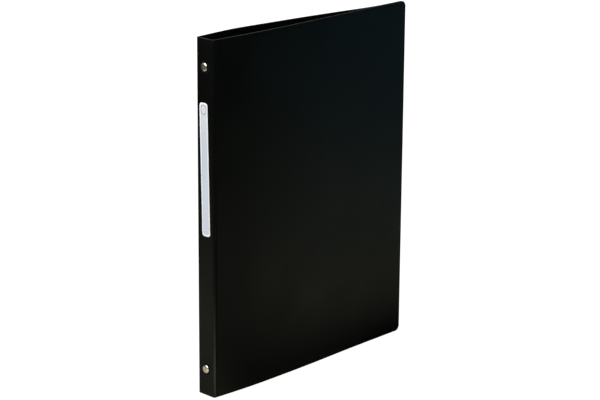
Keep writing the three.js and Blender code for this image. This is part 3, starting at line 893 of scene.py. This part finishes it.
def label_loops():
    """Sections across the label from bottom to top. The half width is full except where a
    quarter circle takes it in at the corners. Returns the loops and both print marks."""
    swing = np.linspace(0, math.pi / 2, 12)
    corner = LABEL_HALF[1] - LABEL_CORNER + LABEL_CORNER * np.sin(swing)
    side = np.linspace(-1, 1, 40) * (LABEL_HALF[1] - LABEL_CORNER)
    up = np.concatenate([-corner[::-1], side[1:-1], corner])[:, None]
    past = np.maximum(np.abs(up) - LABEL_HALF[1] + LABEL_CORNER, 0)
    half = LABEL_HALF[0] - LABEL_CORNER + np.sqrt(np.maximum(LABEL_CORNER ** 2 - past ** 2, 0))
    share = np.linspace(-1, 1, 25)[None, :]
    front = share * (half - 0.05)
    edge = np.concatenate([half, half, -half, -half], axis=1)
    across = np.concatenate([front, edge], axis=1)
    rise = np.concatenate([np.full(25, 1.0), (0.6, 0.05, 0.05, 0.6)]) * LABEL_THICKNESS
    up = up + 0 * across
    y = LABEL_CENTRE[0] + across * math.cos(LABEL_TILT) + up * math.sin(LABEL_TILT)
    z = LABEL_CENTRE[1] - across * math.sin(LABEL_TILT) + up * math.cos(LABEL_TILT)
    return np.stack([-rise + 0 * y, y, z], axis=-1), across, up


loops, across, up = label_loops()
label = piece_from_loops("spine_label_paper", loops, LABEL, "spine_label",
                         marks={"label_across": across, "label_up": up})
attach(label, body_of("spine_label"))

# %% [markdown]
# ## Floor and background
#
# The picture is on plain white. The floor is white card. To the camera it is mostly an
# even white with the soft shadow left in. In reflections it is white only in painted pools
# of light, a glow in the card itself that no lamp casts, and it fades between them, as a
# lit table does. The low sheen on the black sheet is the painted reflection of these pools:
# two at the left and one close behind for the spine's foot, one at the front left for the
# rounded fold, four from the front to the far right for the cover, one far in front for a
# view from straight on, and one behind for the back. Far off they are painted cooler, as by
# a window. The world is a room with a white ceiling and dim walls. Both light the binder
# itself only as an ordinary pale room would.

# %% White floor and world
FLOOR_RADIUS = 8.0
CARD_LIGHT = 0.2
# A share of the dimmer lit card is mixed in near the binder, so the white is over 1
CARD_WHITE = 1.15
SHADOW_KEPT = 0.2
SHADOW_FULL, SHADOW_GONE = 0.5, 1.6
# Each painted pool of light is the x and y of its middle, its radius and its strength
POOLS = ((-0.17, 0.02, 0.32, 0.14), (-0.35, 0.20, 0.25, 0.60), (-0.23, -0.11, 0.19, 1.10),
         (0.10, -0.20, 0.20, 0.39), (0.22, -0.20, 0.22, 0.45), (0.50, -0.15, 0.22, 1.00),
         (0.90, -0.20, 0.20, 2.10), (0.0, -0.75, 0.40, 0.25), (0.32, 0.34, 0.30, 0.80),
         (-0.08, 0.13, 0.15, 0.50))
WARM_TO, COOL_FROM = 0.4, 0.8
AMBIENT = 0.12
WALLS = 0.04
CEILING_FROM, CEILING_FULL = 0.35, 0.9


def seen_ray(tree):
    """Two sockets: 1 for what the camera sees straight on, and 1 for what it sees in any
    way, also in a reflection or through glass."""
    path = add(tree, "LightPath")
    either = add(tree, "Math", {0: path.outputs["Is Camera Ray"],
                                1: path.outputs["Is Glossy Ray"]}, operation="MAXIMUM")
    seen = add(tree, "Math", {0: either.outputs[0],
                              1: path.outputs["Is Transmission Ray"]}, operation="MAXIMUM")
    return path.outputs["Is Camera Ray"], seen.outputs[0]


def white_card():
    """Diffuse card, mixed with white for the rays that are seen. To the camera the white is
    even, with a share of the lit card near the binder to keep its shadow. In reflections
    it is the sum of the pools, each of which falls smoothly to nothing over the outer half
    of its radius, in a hue that cools with the distance from the binder."""
    material, tree, shader = blank_material("white_card_floor")
    tree.nodes.remove(shader)
    straight, seen = seen_ray(tree)
    place_on = add(tree, "TexCoord").outputs["Object"]
    tooth = add(tree, "TexNoise", {"Vector": place_on, "Scale": per_mm(30)})
    pooled = 0.0
    for x, y, radius, strength in POOLS:
        off = add(tree, "VectorMath", {0: place_on, 1: (x, y, 0.0)}, operation="DISTANCE")
        pool = add(tree, "MapRange", {"Value": off.outputs["Value"], "From Min": 0.5 * radius,
                                      "From Max": radius, "To Min": strength, "To Max": 0.0},
                   interpolation_type="SMOOTHSTEP")
        pooled = add(tree, "Math", {0: pooled, 1: pool.outputs["Result"]}).outputs[0]
    white = add(tree, "MapRange", {"Value": straight, "To Min": pooled, "To Max": CARD_WHITE})
    pale = add(tree, "Mix", {"Factor": tooth.outputs["Fac"], 6: linear("#e8e8e8"),
                             7: linear("#ededed")}, data_type="RGBA")
    lit = add(tree, "BsdfDiffuse", {"Color": pale.outputs[2]})
    dim = add(tree, "BsdfDiffuse", {"Color": (CARD_LIGHT, CARD_LIGHT, CARD_LIGHT, 1.0)})
    away = add(tree, "VectorMath", {0: place_on}, operation="LENGTH")
    far = add(tree, "MapRange", {"Value": away.outputs["Value"], "From Min": WARM_TO,
                                 "From Max": COOL_FROM})
    cool = add(tree, "Mix", {"Factor": far.outputs["Result"], 6: linear("#faffe0"),
                             7: linear("#78dcff")}, data_type="RGBA")
    hue = add(tree, "Mix", {"Factor": straight, 6: cool.outputs[2], 7: linear("#ffffff")},
              data_type="RGBA")
    glow = add(tree, "Emission", {"Color": hue.outputs[2], "Strength": white.outputs["Result"]})
    near = add(tree, "MapRange", {"Value": away.outputs["Value"], "From Min": SHADOW_FULL,
                                  "From Max": SHADOW_GONE, "To Min": SHADOW_KEPT,
                                  "To Max": 0.0}, interpolation_type="SMOOTHSTEP")
    kept = add(tree, "Math", {0: near.outputs["Result"], 1: straight}, operation="MULTIPLY")
    even = add(tree, "MixShader", {0: kept.outputs[0], 1: glow.outputs[0],
                                   2: lit.outputs[0]})
    both = add(tree, "MixShader", {0: seen, 1: dim.outputs[0], 2: even.outputs[0]})
    output = tree.nodes["Material Output"]
    tree.links.new(both.outputs[0], output.inputs["Surface"])
    return material


def floor_disc():
    """A round floor: one ring of points at the radius."""
    turn = np.linspace(0, 2 * math.pi, 96, endpoint=False)
    rim = np.stack([FLOOR_RADIUS * np.cos(turn), FLOOR_RADIUS * np.sin(turn), 0 * turn], axis=1)
    mesh = bpy.data.meshes.new("floor_card")
    mesh.from_pydata(rim.tolist(), [], [list(range(len(rim)))])
    mesh.materials.append(white_card())
    floor = bpy.data.objects.new("floor_card", mesh)
    bpy.context.collection.objects.link(floor)


def white_world():
    """Even white to the camera, a white ceiling over dim walls in reflections, and a low
    even light where it only lights."""
    world = bpy.data.worlds.new("studio_white")
    bpy.context.scene.world = world
    world.use_nodes = True
    tree = world.node_tree
    straight, seen = seen_ray(tree)
    towards = add(tree, "SeparateXYZ", {"Vector": add(tree, "TexCoord").outputs["Generated"]})
    room = add(tree, "MapRange", {"Value": towards.outputs["Z"], "From Min": CEILING_FROM,
                                  "From Max": CEILING_FULL, "To Min": WALLS, "To Max": 1.0},
               interpolation_type="SMOOTHSTEP")
    shown = add(tree, "MapRange", {"Value": straight, "To Min": room.outputs["Result"],
                                   "To Max": 1.0})
    strength = add(tree, "MapRange", {"Value": seen, "To Min": AMBIENT,
                                      "To Max": shown.outputs["Result"]})
    background = tree.nodes["Background"]
    background.inputs["Color"].default_value = linear("#ffffff")
    tree.links.new(strength.outputs["Result"], background.inputs["Strength"])


floor_disc()
white_world()
print("floor radius", FLOOR_RADIUS, "m")

# %% [markdown]
# ## Lamps
#
# Three softboxes. The main one hangs high at the left, in front of the spine, and lights
# the spine and its label. A weak, cool one stands low at the front right, close enough that
# the cover brightens towards its fore-edge. The third hangs overhead for the cut edges and
# a soft shadow.

# %% Softboxes
def softbox(name, where, towards, size, power, colour):
    """A square area lamp at where, facing towards, both in metres."""
    lamp = bpy.data.lights.new(name, "AREA")
    lamp.shape, lamp.size, lamp.energy = "SQUARE", size, power
    lamp.color = linear(colour)[:3]
    box = bpy.data.objects.new(name, lamp)
    box.location = where
    box.rotation_euler = (Vector(towards) - Vector(where)).to_track_quat("-Z", "Y").to_euler()
    bpy.context.collection.objects.link(box)
    box.visible_camera = False
    print(name, "of", power, "W")


softbox("main_softbox", (-1.0, 0.0, 1.2), (-0.1, 0.0, 0.15), 0.7, 25, "#fffdfa")
softbox("side_softbox", (0.55, -0.20, 0.25), (0.09, 0.0, 0.13), 0.3, 0.13, "#a8ecff")
softbox("overhead_softbox", (0.2, 0.3, 1.6), (0.0, 0.0, 0.15), 1.2, 16, "#ffffff")

# %% [markdown]
# ## Camera
#
# The camera stands about 1.9 m away at the front left, 16 degrees above the middle, with
# a long lens, as for a catalogue picture. Its place and turn were found by fitting the
# outline of the solid binder to the outline in the photograph.

# %% Camera
CAMERA_AT = (-1.2494, -1.2398, 0.6613)
SENSOR_WIDTH, FOCAL_LENGTH = 36.0, 127.44
YAW, PITCH, ROLL = (math.radians(angle) for angle in (45.058, 16.270, 0.403))

ahead = Vector((math.sin(YAW) * math.cos(PITCH), math.cos(YAW) * math.cos(PITCH),
                -math.sin(PITCH)))
level_right = Vector((math.cos(YAW), -math.sin(YAW), 0.0))
level_up = level_right.cross(ahead)
right = level_right * math.cos(ROLL) + level_up * math.sin(ROLL)
up = level_up * math.cos(ROLL) - level_right * math.sin(ROLL)

lens = bpy.data.cameras.new("catalogue_camera")
lens.sensor_width, lens.lens = SENSOR_WIDTH, FOCAL_LENGTH
camera = bpy.data.objects.new("catalogue_camera", lens)
turned_to = Matrix((right, up, -ahead)).transposed()
camera.matrix_world = Matrix.Translation(CAMERA_AT) @ turned_to.to_4x4()
bpy.context.collection.objects.link(camera)
bpy.context.scene.camera = camera
bpy.context.scene.view_settings.view_transform = "Standard"
print("camera distance", round(Vector(CAMERA_AT).length, 2), "m")
